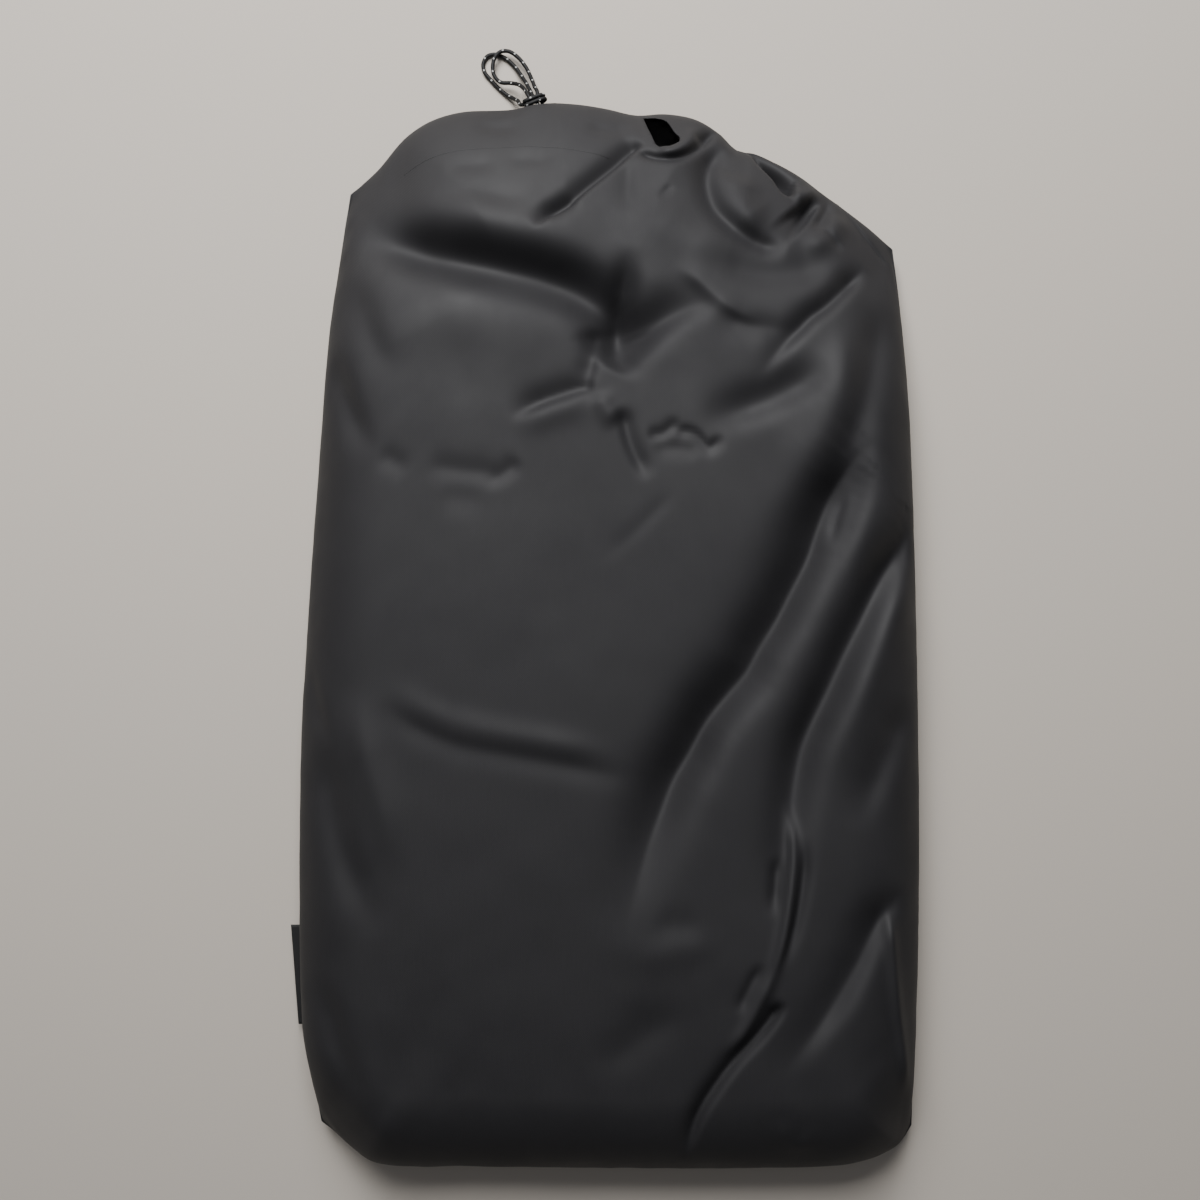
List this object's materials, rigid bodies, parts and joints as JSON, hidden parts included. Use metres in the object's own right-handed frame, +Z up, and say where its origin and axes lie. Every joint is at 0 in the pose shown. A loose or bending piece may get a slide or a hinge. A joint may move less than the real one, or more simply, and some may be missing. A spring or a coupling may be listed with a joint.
{
  "type": "film changing bag",
  "caption": "Black nylon drawstring pouch lying flat, filled with a folded light-tight changing bag that has arm sleeves, elastics and zips.",
  "frame": {"origin": "on the floor under the middle of the pouch's outline, its side label included and its free drawcord left out", "axes": "+Y towards the drawn mouth, +X to the right when looking down on the front panel with the mouth away from the viewer, +Z up out of the front panel"},
  "size_m": [0.3152, 0.5616, 0.0521],
  "materials": {
    "pouch_nylon": "satin black nylon, fine plain weave, softly creased",
    "bag_nylon": "matte black coated nylon",
    "bag_lining": "matte black light-tight lining",
    "binding_tape": "black grosgrain tape",
    "label_weave": "black woven satin tab, blank",
    "drawcord": "black braided cord with pale reflective flecks",
    "elastic": "black ribbed elastic",
    "zip_tape": "black zip tape with moulded coil",
    "zip_metal": "black enamelled zip slider, worn at its edges"
  },
  "bodies": {
    "pouch": {"pouch_front_panel": "pouch_nylon", "pouch_back_panel": "pouch_nylon", "side_seam_binding_left": "binding_tape", "side_seam_binding_right": "binding_tape", "bottom_seam_binding": "binding_tape", "mouth_hem_front": "pouch_nylon", "mouth_hem_back": "pouch_nylon", "drawcord_in_hem": "drawcord", "changing_bag_outer": "bag_nylon", "changing_bag_lining": "bag_lining", "arm_sleeve_left": "bag_nylon", "arm_sleeve_right": "bag_nylon", "wrist_elastic_left": "elastic", "wrist_elastic_right": "elastic", "forearm_elastic_left": "elastic", "forearm_elastic_right": "elastic", "outer_zip_tape_inner_half": "zip_tape", "outer_zip_tape_outer_half": "zip_tape", "outer_zip_end_stop": "zip_metal", "inner_zip_tape_inner_half": "zip_tape", "inner_zip_tape_outer_half": "zip_tape", "inner_zip_end_stop": "zip_metal"},
    "drawcord_knot": {"drawcord_knot": "drawcord", "drawcord_lead_left": "drawcord", "drawcord_lead_right": "drawcord"},
    "drawcord_loops": {"drawcord_loop_upper": "drawcord", "drawcord_loop_lower": "drawcord"},
    "side_label": {"side_label": "label_weave"},
    "outer_zip_slider": {"outer_zip_slider": "zip_metal", "outer_zip_pull_tab": "zip_metal"},
    "inner_zip_slider": {"inner_zip_slider": "zip_metal", "inner_zip_pull_tab": "zip_metal"}
  },
  "joints": [
    {"name": "drawcord_pull", "type": "slide", "parent": "pouch", "child": "drawcord_knot", "axis": [0, 1, 0], "range_m": [0, 0.016]},
    {"name": "drawcord_lift", "type": "hinge", "parent": "drawcord_knot", "child": "drawcord_loops", "pos_m": [-0.034, 0.2659, 0.0135], "axis": [0.9117, 0.4108, 0], "range_deg": [0, 75]},
    {"name": "side_label_flap", "type": "hinge", "parent": "pouch", "child": "side_label", "pos_m": [-0.1508, -0.172, 0.005], "axis": [0, 1, 0], "range_deg": [-20, 60]},
    {"name": "outer_zip_slide", "type": "slide", "parent": "pouch", "child": "outer_zip_slider", "axis": [0, -1, 0], "range_m": [0, 0.25]},
    {"name": "inner_zip_slide", "type": "slide", "parent": "pouch", "child": "inner_zip_slider", "axis": [0, -1, 0], "range_m": [0, 0.25]}
  ]
}
